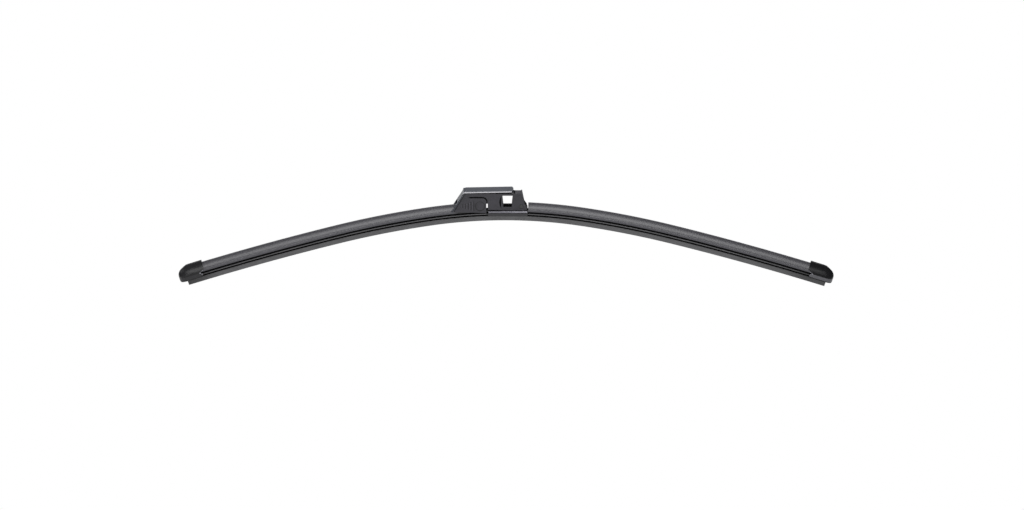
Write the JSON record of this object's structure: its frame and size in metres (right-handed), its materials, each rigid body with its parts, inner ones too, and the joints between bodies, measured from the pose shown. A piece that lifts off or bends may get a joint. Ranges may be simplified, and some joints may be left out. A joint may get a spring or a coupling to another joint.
{
  "type": "flat wiper blade",
  "caption": "Flat spring-rail wiper blade with a spoiler, end caps, wiping rubber and a pivoting centre adaptor with squeeze tabs for a push-in wiper arm.",
  "frame": {"origin": "middle of the post's roof, where the arm's web seats", "axes": "+X along the blade to its right end, -Y to the side that faces the wind, +Z away from the glass"},
  "size_m": [0.5502, 0.018, 0.0841],
  "materials": {
    "rubber": "matt, graphite coated",
    "rail": "black painted spring steel",
    "spoiler": "satin elastomer",
    "cap": "fine moulded satin",
    "base": "satin moulded",
    "pin": "blackened steel",
    "adaptor": "fine moulded satin",
    "cover": "smooth satin"
  },
  "bodies": {
    "adaptor": {"adaptor_body": "adaptor", "adaptor_cover": "cover"},
    "blade": {"wiping_rubber": "rubber", "rail_front": "rail", "rail_rear": "rail", "spoiler_left": "spoiler", "spoiler_right": "spoiler", "end_cap_left": "cap", "end_cap_right": "cap", "mount_base": "base", "hinge_pin": "pin"},
    "tab_front": {"release_tab_front": "adaptor"},
    "tab_rear": {"release_tab_rear": "adaptor"}
  },
  "joints": [
    {"name": "blade_pivot", "type": "hinge", "parent": "adaptor", "child": "blade", "pos_m": [0.002, 0, -0.0108], "axis": [0, 1, 0], "range_deg": [-8, 2]},
    {"name": "press_front", "type": "hinge", "parent": "adaptor", "child": "tab_front", "pos_m": [-0.04185, -0.0074, -0.0097], "axis": [0, 0, 1], "range_deg": [0, 3], "stiffness_Nm_per_rad": 0.6},
    {"name": "press_rear", "type": "hinge", "parent": "adaptor", "child": "tab_rear", "pos_m": [-0.04185, 0.0074, -0.0097], "axis": [0, 0, -1], "range_deg": [0, 3], "stiffness_Nm_per_rad": 0.6}
  ]
}
